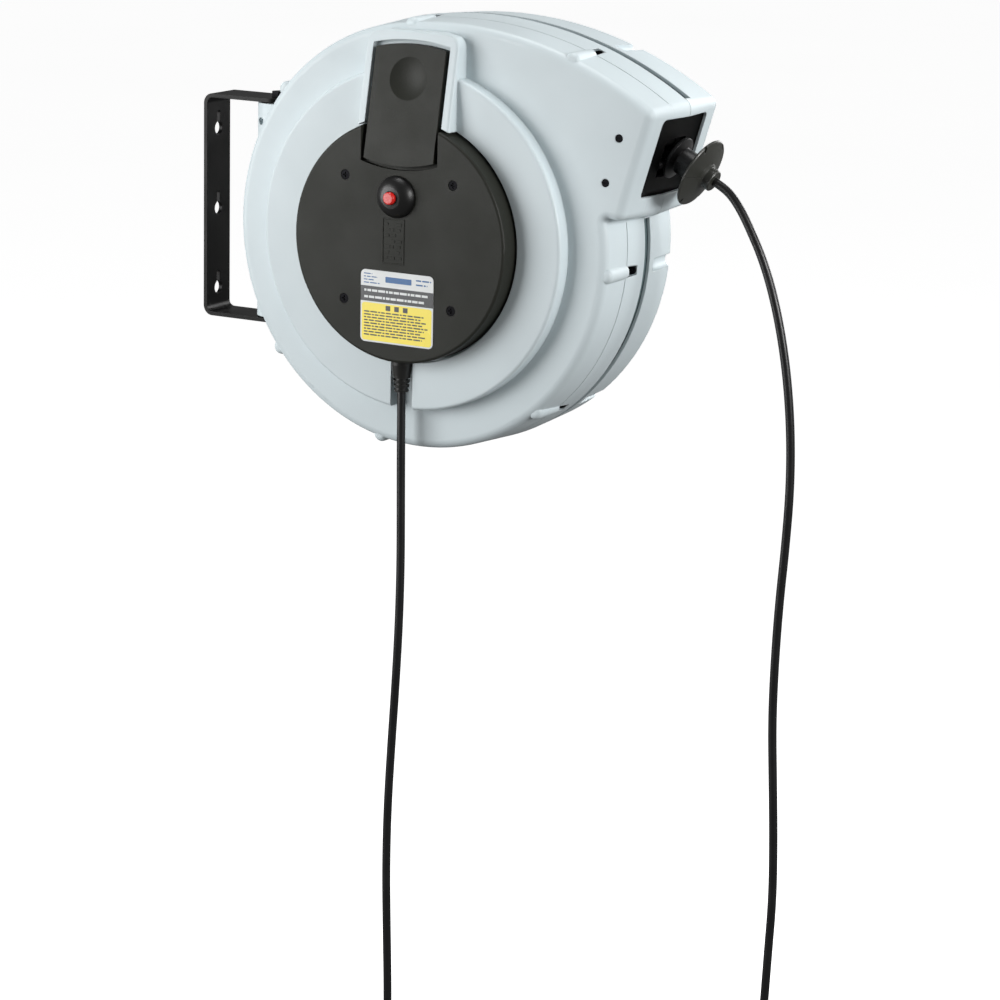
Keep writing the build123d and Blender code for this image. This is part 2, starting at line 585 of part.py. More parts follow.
# ---- free cords ------------------------------------------------------------------------------
def corner_radii(points):
    """0.45 of the shorter run at each corner over the tangent of half the turn."""
    radii = []
    for before, here, after in zip(points, points[1:], points[2:]):
        one, two = here - before, after - here
        turn = math.radians(one.get_angle(two))
        radii.append(0.45 * min(one.length, two.length) / math.tan(turn / 2))
    return radii


def cord(name, points):
    """Straight runs joined by tangent arcs, swept with the cord's round section."""
    points = [Vector(point) for point in points]
    radii = corner_radii(points)
    path = FilletPolyline(*points, radius=radii)
    section = Plane(origin=path @ 0, z_dir=path % 0) * Circle(CORD_R)
    tube = sweep(section, path=path)
    ratio = tube.volume / (math.pi * CORD_R ** 2 * path.length)
    runs = [(b - a).length for a, b in zip(points, points[1:])]
    print(name, "length", round(path.length, 1), "tightest", round(min(radii) / CORD_D, 1), "diameters,",
          "runs", round(min(runs)), "to", round(max(runs)), "volume ratio", round(ratio, 4))
    print("   radii", [round(radius) for radius in radii])
    return tube


sagging = math.radians(MOUTH_TILT + SAG)
SAG_WAY = Vector(math.cos(sagging), -math.sin(sagging), 0)
TAIL_START = ALONG * SAG_S + ACROSS * TANGENT_R + SAG_WAY * (run_end - SAG_S)
TAIL_SECOND = TAIL_START + SAG_WAY * 14.0
TAIL_ROUTE = [
    TAIL_START, TAIL_SECOND, (297.0, 56.0, 0.0), (307.0, 42.5, 0.2), (316.5, 26.0, 0.4),
    (327.5, 5.5, 0.6), (338.5, -22.0, 0.8), (349.0, -58.0, 1.0), (358.0, -102.0, 1.3), (364.0, -152.0, 1.6),
    (366.0, -206.0, 1.9), (363.5, -262.0, 2.0), (359.0, -320.0, 1.8), (356.5, -380.0, 1.4),
    (356.0, -436.0, 1.0), (359.0, -494.0, 0.6), (361.8, -552.0, 0.3), (363.0, -610.0, 0.0),
    (360.0, -668.0, -0.2), (357.0, -742.0, 0.0)]
save("tail_cord", cord("tail_cord", TAIL_ROUTE))

RELIEF_TOP, RELIEF_END = -104.0, -146.0
COIL_LEFT = -12.0
SUPPLY_ROUTE = [
    (SUPPLY_X, RELIEF_END + 2.0, SUPPLY_Z), (SUPPLY_X + 0.5, -200.0, SUPPLY_Z + 0.3),
    (-4.5, -256.0, SUPPLY_Z + 0.6), (-3.5, -316.0, SUPPLY_Z + 1.0), (-4.5, -376.0, SUPPLY_Z + 1.2),
    (-7.5, -438.0, SUPPLY_Z + 1.2), (-11.5, -500.0, SUPPLY_Z + 1.0), (-15.0, -562.0, SUPPLY_Z + 0.6),
    (-16.0, -624.0, SUPPLY_Z + 0.3),
    (-14.5, -686.0, SUPPLY_Z), (-12.5, -746.0, SUPPLY_Z), (COIL_LEFT, COIL_Y + 20.0, SUPPLY_Z)]
save("supply_cord", cord("supply_cord", SUPPLY_ROUTE))

coil_x = COIL_LEFT + COIL_R
coil_depth = COIL_PITCH * COIL_TURNS + CORD_D
coil = Pos(coil_x, COIL_Y, 0) * ring(COIL_R + CORD_R + 0.4, COIL_R - CORD_R - 0.4,
                                      SUPPLY_Z + CORD_R - coil_depth, SUPPLY_Z + CORD_R)
save("supply_coil", coil)

# ---- strain relief, coil tie, plug and connector ---------------------------------------------
def sleeve(x, z, profile, ribs=(), rib_r=0.0):
    """Turned piece on a vertical line, profile as (radius, y) pairs with y falling."""
    outline_points = [(CORD_R, profile[0][1])] + list(profile) + [(CORD_R, profile[-1][1])]
    body = revolve(make_face(Polyline(*outline_points, close=True)), axis=Axis.Y)
    for y in ribs:
        body = body - Pos(0, y, 0) * Rot(90, 0, 0) * (Cylinder(14, 2.2) - Cylinder(rib_r, 4))
    return Pos(x, 0, z) * body


RIB_STEP = 4.6
relief_ribs = [RELIEF_END + 3.2 + RIB_STEP * index for index in range(3)]
relief_side = [(11.5, RELIEF_TOP + 3), (11.5, RELIEF_TOP), (10.6, RELIEF_TOP - 2), (10.2, RELIEF_TOP - 16),
               (8.6, RELIEF_TOP - 26), (6.8, RELIEF_END)]
relief = sleeve(SUPPLY_X, SUPPLY_Z, relief_side, relief_ribs, 5.8)
save("strain_relief", relief)

PLUG_TOP = COIL_Y - 62.0
low_z = SUPPLY_Z - COIL_TURNS * COIL_PITCH
SUPPLY_END = [
    (COIL_LEFT, COIL_Y, low_z - CORD_D), (COIL_LEFT + 0.3, COIL_Y - 22, low_z - CORD_D),
    (COIL_LEFT + 0.4, COIL_Y - 43, low_z - CORD_D + 0.2), (COIL_LEFT, PLUG_TOP - 2, low_z - CORD_D)]
save("supply_end", cord("supply_end", SUPPLY_END))
plug_z = low_z - CORD_D
PLUG_R = 19.0
plug_side = [(5.6, PLUG_TOP), (8.0, PLUG_TOP - 22), (9.5, PLUG_TOP - 23), (PLUG_R - 2.5, PLUG_TOP - 31),
             (PLUG_R, PLUG_TOP - 38), (PLUG_R, PLUG_TOP - 62)]
plug_ribs = [PLUG_TOP - 4 - 4.4 * index for index in range(4)]
plug = sleeve(COIL_LEFT, plug_z, plug_side, plug_ribs, 5.3)
plug = plug + Pos(COIL_LEFT, PLUG_TOP - 61, plug_z) * Rot(90, 0, 0) * Cylinder(PLUG_R, 2)
plug_bottom = PLUG_TOP - 62.0
save("plug_body", plug)
PIN_R, PIN_L, PIN_OFF = 2.4, 19.0, 9.5
pins = []
for way in (-1, 1):
    centre = Pos(COIL_LEFT + way * PIN_OFF, plug_bottom - PIN_L / 2, plug_z)
    pins.append(centre * Rot(90, 0, 0) * Cylinder(PIN_R, PIN_L))
save("plug_pins", *pins)

band_outer = Box(CORD_D + 5.6, 5.0, coil_depth + 4.4)
band_inner = Box(CORD_D + 2.4, 6.0, coil_depth + 1.2)
band = Pos(coil_x + COIL_R, COIL_Y, SUPPLY_Z + CORD_R - coil_depth / 2) * (band_outer - band_inner)
save("coil_tie", band)

CONN_TOP = -740.0
conn_x = TAIL_ROUTE[-1][0]
CONN_R = 22.0
conn_side = [(5.6, CONN_TOP), (8.2, CONN_TOP - 26), (10, CONN_TOP - 27), (CONN_R - 3, CONN_TOP - 38),
             (CONN_R, CONN_TOP - 46), (CONN_R, CONN_TOP - 74)]
conn_ribs = [CONN_TOP - 5 - 4.6 * index for index in range(4)]
conn = sleeve(conn_x, 0, conn_side, conn_ribs, 5.4)
conn = conn + Pos(conn_x, CONN_TOP - 58, 0) * Rot(90, 0, 0) * Cylinder(CONN_R, 10)
conn_end = CONN_TOP - 74.0
HOLE_R, HOLE_DEPTH = 2.6, 16.0
for way in (-1, 1):
    conn = conn - Pos(conn_x + way * PIN_OFF, conn_end, 0) * Rot(90, 0, 0) * Cylinder(HOLE_R, 2 * HOLE_DEPTH)
save("connector_body", conn)
FACE_R, FACE_T, LIP = 21.0, 6.0, 2.5
cup = Cylinder(FACE_R, FACE_T) - Pos(0, 0, 4) * Cylinder(FACE_R - LIP, FACE_T)
socket_face = Pos(conn_x, conn_end - FACE_T / 2, 0) * Rot(90, 0, 0) * cup
for way in (-1, 1):
    hole = Pos(conn_x + way * PIN_OFF, conn_end - 4, 0) * Rot(90, 0, 0) * Cylinder(HOLE_R, 12)
    socket_face = socket_face - hole
save("connector_face", socket_face)

# ---- wall bracket and swivel, in the row frame -----------------------------------------------
HALF_H, HALF_W = PLATE_H / 2, PLATE_W / 2
BEND = 10.0
KEY_PITCH = 80.0
KEY_R, KEY_SLOT_R, KEY_RISE, KEY_DROP = 6.5, 2.75, 14.7, 5.5
strip = block(0, PIVOT_X + HALF_W, -HALF_W, HALF_W, -HALF_H, HALF_H)
strip = fillet(strip.edges().filter_by(Axis.Y).group_by(Axis.X)[0], BEND)
void = block(STRIP_T, 200, -50, 50, -HALF_H + STRIP_T, HALF_H - STRIP_T)
void = fillet(void.edges().filter_by(Axis.Y).group_by(Axis.X)[0], BEND - STRIP_T)
nose = block(-10, PIVOT_X, -50, 50, -200, 200) + Pos(PIVOT_X, 0, 0) * Cylinder(HALF_W, 400)
bracket = ((strip - void) & nose) - Pos(PIVOT_X, 0, 0) * Cylinder(PIVOT_R + 0.2, 400)
for row in (-1, 0, 1):
    z = row * KEY_PITCH - KEY_DROP
    hole = Pos(0, 0, z) * Rot(0, 90, 0) * Cylinder(KEY_R, 30)
    slot_top = Pos(0, 0, z + KEY_RISE) * Rot(0, 90, 0) * Cylinder(KEY_SLOT_R, 30)
    slot = block(-15, 15, -KEY_SLOT_R, KEY_SLOT_R, z, z + KEY_RISE)
    bracket = bracket - hole - slot_top - slot
save_row("wall_bracket", bracket)

LUG_R = 20.0
WASHER_T = 1.2
LUG_TOP = HALF_H - STRIP_T - WASHER_T
LUG_LOW = 72.0
WEB_R = BODY_R + 8.0
drum_axis = Pos(REEL_X, 0, 0) * Rot(90, 0, 0)
web = drum_axis * (ring(WEB_R, BODY_R + 0.2, -22, 22) & block(-300, -150, -LUG_TOP, LUG_TOP, -30, 30))
housing_round = drum_axis * disc(BODY_R + 0.2, -40, 40)
yoke = web
for way in (-1, 1):
    z0, z1 = sorted((way * LUG_LOW, way * LUG_TOP))
    lug = Pos(PIVOT_X, 0, z0) * Cylinder(LUG_R, z1 - z0, align=(MID, MID, LOW))
    lug = lug + block(PIVOT_X, PIVOT_X + 60, -LUG_R, LUG_R, z0, z1)
    lug = lug - housing_round
    yoke = yoke + lug
yoke = yoke - Pos(PIVOT_X, 0, 0) * Cylinder(PIVOT_R + RUN_GAP, 400)
NUT_POCKET_R = 10.5
for z in (LUG_LOW - 9.5, -LUG_LOW):
    yoke = yoke - Pos(PIVOT_X, 0, z) * Cylinder(NUT_POCKET_R, 9.5, align=(MID, MID, LOW))
PEG_X, PEG_Z, PEG_R = 66.3, 88.0, 3.6
yoke = yoke - Pos(PEG_X, 0, PEG_Z) * Rot(90, 0, 0) * Cylinder(PEG_R, 60)
save_row("swivel_yoke", yoke)

bolts, nuts, washers = [], [], []
BOLT_HEAD_R, BOLT_HEAD_H = 7.2, 5.3
for way in (-1, 1):
    pivot = Pos(PIVOT_X, 0, 0) * (Rot(0, 0, 0) if way > 0 else Rot(180, 0, 0))
    hexagon = RegularPolygon(BOLT_HEAD_R, 6)
    head = Pos(0, 0, HALF_H) * extrude(hexagon, amount=BOLT_HEAD_H)
    bolts.append(pivot * (head + disc(PIVOT_R, LUG_LOW - 7, HALF_H)))
    nut = Pos(0, 0, LUG_LOW - 6.3) * extrude(hexagon, amount=6)
    nuts.append(pivot * (nut - disc(PIVOT_R, 0, HALF_H)))
    washers.append(pivot * ring(10, PIVOT_R, LUG_TOP + 0.1, LUG_TOP + WASHER_T))
save_row("pivot_bolts", *bolts)
save_row("pivot_nuts", *nuts)
save_row("pivot_washers", *washers)
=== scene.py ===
"""Looks of the wall-mounted extension cord reel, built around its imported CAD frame.

Metres, in the CAD row frame: +Z up, wall at X = 0, front cover towards -Y.
Points of the reel itself are written in its local frame: x right, y up,
z towards the front, from the drum axis, as the CAD source has them.
"""
import json
import math

import bmesh
import bpy
from mathutils import Matrix, Vector


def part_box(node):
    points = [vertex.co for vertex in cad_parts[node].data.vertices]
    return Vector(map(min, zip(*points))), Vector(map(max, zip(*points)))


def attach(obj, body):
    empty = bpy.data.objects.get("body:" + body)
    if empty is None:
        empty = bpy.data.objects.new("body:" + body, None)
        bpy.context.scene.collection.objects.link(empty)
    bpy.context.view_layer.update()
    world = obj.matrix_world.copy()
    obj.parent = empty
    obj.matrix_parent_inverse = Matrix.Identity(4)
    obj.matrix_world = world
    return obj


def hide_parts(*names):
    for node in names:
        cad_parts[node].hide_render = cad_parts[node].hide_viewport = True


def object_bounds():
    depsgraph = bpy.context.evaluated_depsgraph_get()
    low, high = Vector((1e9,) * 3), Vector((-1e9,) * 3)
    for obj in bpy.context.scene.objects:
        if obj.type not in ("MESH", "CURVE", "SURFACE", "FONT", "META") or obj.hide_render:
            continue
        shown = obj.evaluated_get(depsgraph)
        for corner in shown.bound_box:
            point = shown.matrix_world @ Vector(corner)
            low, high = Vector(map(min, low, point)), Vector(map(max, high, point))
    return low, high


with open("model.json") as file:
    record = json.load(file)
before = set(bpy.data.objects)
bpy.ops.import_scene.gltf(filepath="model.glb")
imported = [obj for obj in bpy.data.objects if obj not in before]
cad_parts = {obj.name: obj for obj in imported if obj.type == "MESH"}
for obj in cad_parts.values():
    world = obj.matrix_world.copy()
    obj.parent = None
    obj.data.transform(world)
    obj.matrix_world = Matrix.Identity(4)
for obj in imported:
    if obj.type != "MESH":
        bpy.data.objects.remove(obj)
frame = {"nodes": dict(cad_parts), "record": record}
cad_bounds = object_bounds()
nodes = frame["nodes"]

REEL_X = 0.280            # wall to drum axis
CORD_D = 0.0082
CORD_R = CORD_D / 2


def to_row(x, y, z):
    """Local point of the reel, in metres, to the row frame."""
    return Vector((REEL_X + x, -z, y))


# ---- camera ------------------------------------------------------------------------------
AZIMUTH, ELEVATION, ROLL = 30.03, 13.12, 1.15
DISTANCE = 3.6
SENSOR_WIDTH = 36.0       # millimetres
FOCAL_SHARE = 3.712       # focal length over the sensor's width
FAR_CLIP = 50.0
AIM = Vector((0.335, 0.0, -0.2606))


def add_camera():
    """Camera DISTANCE away from AIM, turned about its own line of sight by ROLL."""
    azimuth, elevation, roll = (math.radians(v) for v in (AZIMUTH, ELEVATION, ROLL))
    level_right = Vector((math.cos(azimuth), math.sin(azimuth), 0))
    forward = Vector((-math.sin(azimuth) * math.cos(elevation),
                      math.cos(azimuth) * math.cos(elevation), -math.sin(elevation)))
    level_up = level_right.cross(forward)
    right = level_right * math.cos(roll) + level_up * math.sin(roll)
    up = level_up * math.cos(roll) - level_right * math.sin(roll)
    data = bpy.data.cameras.new("camera")
    data.sensor_width = SENSOR_WIDTH
    data.lens = FOCAL_SHARE * SENSOR_WIDTH
    data.clip_end = FAR_CLIP
    camera = bpy.data.objects.new("camera", data)
    turn = Matrix((right, up, -forward)).transposed().to_4x4()
    camera.matrix_world = Matrix.Translation(AIM - forward * DISTANCE) @ turn
    bpy.context.scene.collection.objects.link(camera)
    bpy.context.scene.camera = camera


add_camera()


# ---- materials ---------------------------------------------------------------------------
MIX_FACTOR, MIX_A, MIX_B, MIX_RESULT = 0, 6, 7, 2     # colour sockets of a Mix node


class Nodes:
    """Shorthand for building one material's node tree."""

    def __init__(self, name):
        self.material = bpy.data.materials.new(name)
        self.material.use_nodes = True
        self.tree = self.material.node_tree
        self.shader = self.tree.nodes["Principled BSDF"]
        self.place = self.tree.nodes.new("ShaderNodeTexCoord").outputs["Object"]

    def new(self, kind, **values):
        """Add a node; each value goes to the input or else the setting of that name."""
        node = self.tree.nodes.new(kind)
        for key, value in values.items():
            if key in node.inputs:
                node.inputs[key].default_value = value
            else:
                setattr(node, key, value)
        return node

    def link(self, a, b):
        self.tree.links.new(a, b)

    def noise(self, scale, detail=3.0, place=None):
        node = self.new("ShaderNodeTexNoise", Scale=scale, Detail=detail)
        self.link(place or self.place, node.inputs["Vector"])
        return node.outputs["Fac"]

    def ramp(self, value, low, high, out_low=0.0, out_high=1.0):
        """Stretch the range low to high over the out range, and hold it at both ends."""
        node = self.new("ShaderNodeMapRange")
        node.clamp = True
        self.link(value, node.inputs["Value"])
        ends = {"From Min": low, "From Max": high, "To Min": out_low, "To Max": out_high}
        for key, number in ends.items():
            node.inputs[key].default_value = number
        return node.outputs["Result"]

    def feed(self, socket, value):
        """Give a socket a number, a colour or another node's output."""
        if isinstance(value, tuple):
            socket.default_value = (*value, 1.0)
        elif isinstance(value, float):
            socket.default_value = value
        else:
            self.link(value, socket)

    def mix(self, factor, a, b):
        node = self.new("ShaderNodeMix", data_type="RGBA")
        for index, value in ((MIX_FACTOR, factor), (MIX_A, a), (MIX_B, b)):
            self.feed(node.inputs[index], value)
        return node.outputs[MIX_RESULT]

    def math(self, operation, a, b):
        node = self.new("ShaderNodeMath", operation=operation)
        self.feed(node.inputs[0], a)
        self.feed(node.inputs[1], b)
        return node.outputs[0]

    def bump(self, height, distance, normal=None):
        node = self.new("ShaderNodeBump", Distance=distance, Strength=1.0)
        self.link(height, node.inputs["Height"])
        if normal:
            self.link(normal, node.inputs["Normal"])
        return node.outputs["Normal"]


EDGE_LOW, EDGE_HIGH = 0.012, 0.16        # how far the two normals part at an edge
BROKEN_SCALE = 55.0                      # patches that break the edge wear up
BROKEN_LOW, BROKEN_HIGH = 0.40, 0.62


def edge_mask(n, normal):
    """White where the softened normal leaves the surface's own, which is at its edges."""
    flat = n.new("ShaderNodeNewGeometry").outputs["Normal"]
    dot = n.new("ShaderNodeVectorMath", operation="DOT_PRODUCT")
    n.link(normal, dot.inputs[0])
    n.link(flat, dot.inputs[1])
    apart = n.math("SUBTRACT", 1.0, dot.outputs["Value"])
    broken = n.ramp(n.noise(BROKEN_SCALE), BROKEN_LOW, BROKEN_HIGH)
    return n.math("MULTIPLY", n.ramp(apart, EDGE_LOW, EDGE_HIGH), broken)


CLOUD_SCALE, CLOUD_DARK = 7.0, 0.93      # broad, faint changes of shade
CLOUD_LOW, CLOUD_HIGH = 0.35, 0.65
GLOSS_SCALE = 26.0
NOISE_LOW, NOISE_HIGH = 0.3, 0.7         # range that most of a noise lies in
BEVEL_SAMPLES = 4
# Painted shade: the cable stop is painted black behind its rim, where it sits in the dark mouth.
STOP_AXIS = (0.898794, 0.0, -0.438371)   # way the cable stop points, in the row frame
SHADE_END, LIT_START = 0.4446, 0.4500  # along that axis: behind and in front of its rim
INNER_END_SHADE = (0.0015, 0.0015, 0.0015)


def moulded(name, color, gloss, grain, wear, soften=0.0006, specular=0.5, shaded_inner_end=False):
    """Moulded plastic or rubber: grain, uneven gloss, faint dust and scuffed edges.

    gloss is the mean roughness and its swing; grain is the texture's scale and depth in metres.
    The last flag paints a piece black from its inner end up to the cable stop's rim: painted
    shade for the part of the stop that sits in the dark mouth.
    """
    n = Nodes(name)
    bevel = n.new("ShaderNodeBevel", Radius=soften)
    bevel.samples = BEVEL_SAMPLES
    soft = bevel.outputs["Normal"]
    cloud = n.ramp(n.noise(CLOUD_SCALE, 4.0), CLOUD_LOW, CLOUD_HIGH)
    base = n.mix(cloud, tuple(c * CLOUD_DARK for c in color), color)
    base = n.mix(edge_mask(n, soft), base, wear)
    # Painted shade: black from the inner end to the rim, where the stop sits in the dark mouth.
    if shaded_inner_end:
        along = n.new("ShaderNodeVectorMath", operation="DOT_PRODUCT")
        n.link(n.place, along.inputs[0])
        along.inputs[1].default_value = STOP_AXIS
        lit_share = n.ramp(along.outputs["Value"], SHADE_END, LIT_START)
        base = n.mix(lit_share, INNER_END_SHADE, base)
    n.link(base, n.shader.inputs["Base Color"])
    mean, swing = gloss
    spread = n.noise(GLOSS_SCALE, 5.0)
    uneven = n.ramp(spread, NOISE_LOW, NOISE_HIGH, mean - swing, mean + swing)
    n.link(uneven, n.shader.inputs["Roughness"])
    n.shader.inputs["Specular IOR Level"].default_value = specular
    scale, depth = grain
    n.link(n.bump(n.noise(scale, 2.0), depth, normal=soft), n.shader.inputs["Normal"])
    return n.material


STREAK = (40.0, 40.0, 1200.0)            # noise stretched into fine lines
STREAK_DARK, STREAK_DEPTH = 0.82, 0.00002


def metal(name, color, gloss):
    """Plated or turned metal with fine streaks."""
    n = Nodes(name)
    scaled = n.new("ShaderNodeMapping")
    n.link(n.place, scaled.inputs["Vector"])
    scaled.inputs["Scale"].default_value = STREAK
    lines = n.noise(1.0, 3.0, place=scaled.outputs["Vector"])
    shade = n.ramp(lines, NOISE_LOW, NOISE_HIGH)
    base = n.mix(shade, tuple(c * STREAK_DARK for c in color), color)
    n.link(base, n.shader.inputs["Base Color"])
    n.shader.inputs["Metallic"].default_value = 1.0
    mean, swing = gloss
    uneven = n.ramp(lines, NOISE_LOW, NOISE_HIGH, mean - swing, mean + swing)
    n.link(uneven, n.shader.inputs["Roughness"])
    n.link(n.bump(lines, STREAK_DEPTH), n.shader.inputs["Normal"])
    return n.material


grey_shell = moulded("grey_shell", (0.60, 0.675, 0.70), (0.46, 0.05), (620.0, 0.00004),
                     (0.68, 0.74, 0.76), 0.0012)
dark_cover = moulded("dark_cover", (0.021, 0.022, 0.018), (0.46, 0.06), (1000.0, 0.00010),
                     (0.05, 0.05, 0.045), specular=0.16)
black_plastic = moulded("black_plastic", (0.006, 0.006, 0.006), (0.36, 0.06), (900.0, 0.00004),
                        (0.03, 0.03, 0.03), specular=0.4)
# The mouth's guide and rollers: black parts, made far darker than the black plastic as painted
# shade for the deep opening.
mouth_black = moulded("mouth_black", (0.0015, 0.0015, 0.0015), (0.42, 0.06), (900.0, 0.00004),
                      (0.01, 0.01, 0.01), specular=0.12)
cord_rubber = moulded("cord_rubber", (0.004, 0.004, 0.0045), (0.36, 0.06), (1500.0, 0.00002),
                      (0.01, 0.01, 0.01))
moulded_rubber = moulded("moulded_rubber", (0.008, 0.008, 0.007), (0.40, 0.07), (1100.0, 0.00004),
                         (0.03, 0.03, 0.028))
# The stop's inner end is painted black up to its rim, as painted shade.
stop_rubber = moulded("stop_rubber", (0.026, 0.027, 0.022), (0.36, 0.07), (1100.0, 0.00004),
                      (0.05, 0.05, 0.045), specular=0.7, shaded_inner_end=True)
# Dark teal, far darker than the grey shell: painted shade for the deep parting groove this ring
# lies in.
gasket_rubber = moulded("gasket_rubber", (0.11, 0.16, 0.17), (0.55, 0.05), (900.0, 0.00004),
                        (0.08, 0.09, 0.1))
red_button = moulded("red_button", (0.60, 0.018, 0.014), (0.24, 0.05), (500.0, 0.00002),
                     (0.8, 0.2, 0.16))
nylon = moulded("white_nylon", (0.74, 0.74, 0.70), (0.45, 0.06), (800.0, 0.00004),
                (0.8, 0.8, 0.78))
black_paint = moulded("black_paint", (0.002, 0.002, 0.002), (0.36, 0.06), (420.0, 0.00006),
                      (0.03, 0.03, 0.03), specular=0.14)
zinc = metal("zinc_steel", (0.62, 0.62, 0.64), (0.34, 0.08))
black_steel = metal("black_steel", (0.008, 0.008, 0.009), (0.46, 0.08))
brass = metal("brass", (0.80, 0.58, 0.25), (0.28, 0.08))
bronze = metal("bronze_bush", (0.55, 0.36, 0.18), (0.42, 0.08))
FILM_GLOSS, FILM_GRAIN, FILM_SOFTEN = (0.31, 0.04), (700.0, 0.00001), 0.0002
white_film = moulded("label_film", (0.70, 0.72, 0.72), FILM_GLOSS, FILM_GRAIN,
                     (0.8, 0.8, 0.8), FILM_SOFTEN)
yellow_film = moulded("label_yellow", (0.92, 0.76, 0.09), FILM_GLOSS, FILM_GRAIN,
                      (0.8, 0.7, 0.2), FILM_SOFTEN)
dark_ink = moulded("label_dark", (0.035, 0.038, 0.042), FILM_GLOSS, FILM_GRAIN,
                   (0.1, 0.1, 0.1), FILM_SOFTEN)
blue_ink = moulded("label_blue", (0.015, 0.11, 0.30), FILM_GLOSS, FILM_GRAIN,
                   (0.1, 0.2, 0.4), FILM_SOFTEN)

FINISHES = {
    "grey_shell": grey_shell, "dark_cover": dark_cover, "black_paint": black_paint,
    "black_plastic": black_plastic, "red_button": red_button, "label_film": white_film,
    "cord_rubber": cord_rubber, "moulded_rubber": moulded_rubber, "zinc_steel": zinc,
    "black_steel": black_steel, "brass": brass, "bronze_bush": bronze,
    "gasket_rubber": gasket_rubber, "white_nylon": nylon,
}


def paint(obj, material):
    """Make a material the object's only one."""
    obj.data.materials.clear()
    obj.data.materials.append(material)


slot_of = {part["node"]: part["material_slot"] for part in frame["record"]["subparts"]}
for name, obj in nodes.items():
    paint(obj, FINISHES[slot_of[name]])
# Painted shade: the mouth's inner parts get the near-black finish, so the opening reads as deep
# shade.
for name in ("mouth_guide", "roller_upper", "roller_lower", "roller_front", "roller_rear"):
    paint(nodes[name], mouth_black)
for name in ("stop_half_upper", "stop_half_lower"):
    paint(nodes[name], stop_rubber)

# ---- cords: both routes are the CAD source's points, in metres ---------------------------
SUPPLY_Z = 0.086
COIL_LEFT, COIL_Y, COIL_R = -0.012, -0.829, 0.042
COIL_TURNS, COIL_PITCH = 3, 0.0084
TURN_POINTS = 16
BEVEL_RESOLUTION, CURVE_RESOLUTION = 6, 10
SUPPLY_ROUTE = [
    (-0.0060, -0.144, 0.0860), (-0.0055, -0.200, 0.0863), (-0.0045, -0.256, 0.0866),
    (-0.0035, -0.316, 0.0870), (-0.0045, -0.376, 0.0872), (-0.0075, -0.438, 0.0872),
    (-0.0115, -0.500, 0.0870), (-0.0150, -0.562, 0.0866), (-0.0160, -0.624, 0.0863),
    (-0.0145, -0.686, 0.0860), (-0.0125, -0.746, 0.0860), (-0.0120, -0.809, 0.0860)]
TAIL_ROUTE = [
    (0.27440, 0.07099, 0.0), (0.28699, 0.06486, 0.0), (0.2970, 0.0560, 0.0),
    (0.3070, 0.0425, 0.0002), (0.3165, 0.0260, 0.0004), (0.3275, 0.0055, 0.0006),
    (0.3385, -0.0220, 0.0008), (0.3490, -0.0580, 0.0010), (0.3580, -0.1020, 0.0013),
    (0.3640, -0.1520, 0.0016), (0.3660, -0.2060, 0.0019), (0.3635, -0.2620, 0.0020),
    (0.3590, -0.3200, 0.0018), (0.3565, -0.3800, 0.0014), (0.3560, -0.4360, 0.0010),
    (0.3590, -0.4940, 0.0006), (0.3618, -0.5520, 0.0003), (0.3630, -0.6100, 0.0),
    (0.3600, -0.6680, -0.0002), (0.3570, -0.7420, 0.0)]


def add_cord(name, route, material):
    """Smooth tube whose control points are the route."""
    data = bpy.data.curves.new(name, "CURVE")
    data.dimensions = "3D"
    data.bevel_depth = CORD_R
    data.bevel_resolution = BEVEL_RESOLUTION
    data.resolution_u = CURVE_RESOLUTION
    data.use_fill_caps = True
    spline = data.splines.new("NURBS")
    spline.points.add(len(route) - 1)
    for point, place in zip(spline.points, route):
        point.co = (*to_row(*place), 1.0)
    spline.order_u = 3
    spline.use_endpoint_u = True
    obj = bpy.data.objects.new(name, data)
    bpy.context.scene.collection.objects.link(obj)
    data.materials.append(material)
    return obj


coil = []
coil_x = COIL_LEFT + COIL_R
control_r = COIL_R / math.cos(math.pi / TURN_POINTS)
for step in range(1, COIL_TURNS * TURN_POINTS):
    angle = math.pi + step * 2 * math.pi / TURN_POINTS
    x = coil_x + control_r * math.cos(angle)
    y = COIL_Y + control_r * math.sin(angle)
    coil.append((x, y, SUPPLY_Z - COIL_PITCH * step / TURN_POINTS))
low_z = SUPPLY_Z - COIL_TURNS * COIL_PITCH
supply_end = [
    (COIL_LEFT - 0.0006, COIL_Y, low_z),
    (COIL_LEFT, COIL_Y - 0.020, low_z - 0.003),
    (COIL_LEFT + 0.0003, COIL_Y - 0.040, low_z - 0.0072),
    (COIL_LEFT, COIL_Y - 0.064, low_z - 0.0082)]
supply_lead = add_cord("supply_lead", SUPPLY_ROUTE + coil + supply_end, cord_rubber)
tail_lead = add_cord("tail_lead", TAIL_ROUTE, cord_rubber)

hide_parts("supply_cord", "supply_coil", "supply_end")
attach(supply_lead, "housing")
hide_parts("tail_cord")
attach(tail_lead, "cable")


# ---- printing on the label, raised marks on the cover ------------------------------------
INK = 0.00006             # how far print stands off the film
CORNER_STEPS = 4          # straight pieces in a rounded corner
SIDE_SHARE = 2.01         # a corner takes just less than half a side


